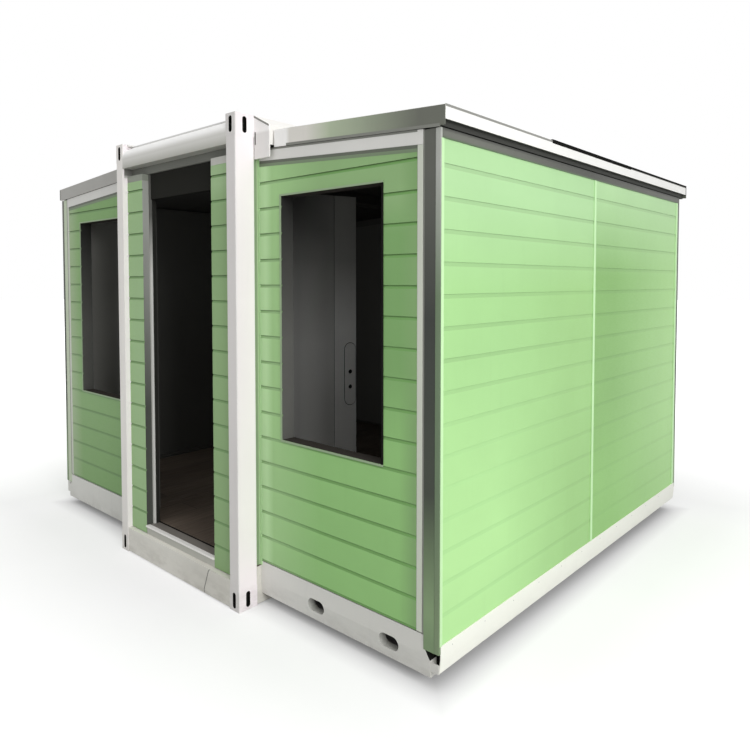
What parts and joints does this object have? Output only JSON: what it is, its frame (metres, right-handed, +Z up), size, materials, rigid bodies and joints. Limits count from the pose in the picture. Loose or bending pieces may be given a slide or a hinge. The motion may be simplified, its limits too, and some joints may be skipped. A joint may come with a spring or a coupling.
{
  "type": "folding prefab house",
  "caption": "Folding container-style house: a steel-cornered centre module with a doorway and, on each side, a fold-out wing with panel walls, windows and a sloping roof.",
  "frame": {"origin": "middle of the house's footprint at ground level, under the corner castings", "axes": "+X to the right along the front, +Y from front to back, +Z up; the doorway and windows face -Y"},
  "size_m": [3.5, 3.16, 2.48],
  "materials": {
    "white_paint": "satin white paint on steel",
    "green_panel": "satin light green coated panel with horizontal board grooves",
    "bright_metal": "bare bright metal edging",
    "trim_metal": "bare metal channel",
    "lock_steel": "brushed",
    "floor_board": "matte brown board",
    "door_paint": "satin light grey paint"
  },
  "bodies": {
    "house": {"corner_posts": "white_paint", "front_top_castings": "white_paint", "rear_top_castings": "white_paint", "front_bottom_castings": "white_paint", "rear_bottom_castings": "white_paint", "top_beams": "white_paint", "base_beams": "white_paint", "base_side_rails": "white_paint", "wing_jambs": "white_paint", "hinge_rail_right": "white_paint", "hinge_rail_left": "white_paint", "hinge_end_plates": "white_paint", "module_roof": "white_paint", "module_floor": "floor_board", "front_walls": "green_panel", "front_head_rail": "white_paint", "door_frame": "white_paint", "door_threshold": "white_paint", "rear_wall": "green_panel", "wing_end_beams_right": "white_paint", "wing_end_beams_left": "white_paint", "wing_side_beams_right": "white_paint", "wing_side_beams_left": "white_paint", "wing_floor_right": "floor_board", "wing_floor_left": "floor_board", "side_wall_right": "green_panel", "side_wall_left": "green_panel", "side_wall_trim_right": "trim_metal", "side_wall_trim_left": "trim_metal"},
    "roof_right": {"roof_panel_right": "white_paint", "roof_hinge_profile_right": "white_paint", "roof_fascia_right": "bright_metal"},
    "roof_left": {"roof_panel_left": "white_paint", "roof_hinge_profile_left": "white_paint", "roof_fascia_left": "bright_metal"},
    "front_right_wall": {"front_end_wall_right": "green_panel", "front_end_frame_right": "white_paint"},
    "front_left_wall": {"front_end_wall_left": "green_panel", "front_end_frame_left": "white_paint"},
    "rear_right_wall": {"rear_end_wall_right": "green_panel", "rear_end_frame_right": "white_paint"},
    "rear_left_wall": {"rear_end_wall_left": "green_panel", "rear_end_frame_left": "white_paint"},
    "door": {"door_leaf": "door_paint", "door_lock_plate": "lock_steel"}
  },
  "joints": [
    {"name": "roof_right_lift", "type": "hinge", "parent": "house", "child": "roof_right", "pos_m": [0.726, 0, 2.40372], "axis": [0, -1, 0], "range_deg": [0, 12]},
    {"name": "roof_left_lift", "type": "hinge", "parent": "house", "child": "roof_left", "pos_m": [-0.726, 0, 2.40372], "axis": [0, 1, 0], "range_deg": [0, 12]},
    {"name": "front_right_wall_swing", "type": "hinge", "parent": "house", "child": "front_right_wall", "pos_m": [0.604, -1.357, 1.27], "axis": [0, 0, 1], "range_deg": [0, 90]},
    {"name": "front_left_wall_swing", "type": "hinge", "parent": "house", "child": "front_left_wall", "pos_m": [-0.604, -1.357, 1.27], "axis": [0, 0, -1], "range_deg": [0, 90]},
    {"name": "rear_right_wall_swing", "type": "hinge", "parent": "house", "child": "rear_right_wall", "pos_m": [0.604, 1.357, 1.27], "axis": [0, 0, -1], "range_deg": [0, 90]},
    {"name": "rear_left_wall_swing", "type": "hinge", "parent": "house", "child": "rear_left_wall", "pos_m": [-0.604, 1.357, 1.27], "axis": [0, 0, 1], "range_deg": [0, 90]},
    {"name": "door_swing", "type": "hinge", "parent": "house", "child": "door", "pos_m": [0.356, -1.417, 1.2], "axis": [0, 0, 1], "range_deg": [0, 108]}
  ]
}
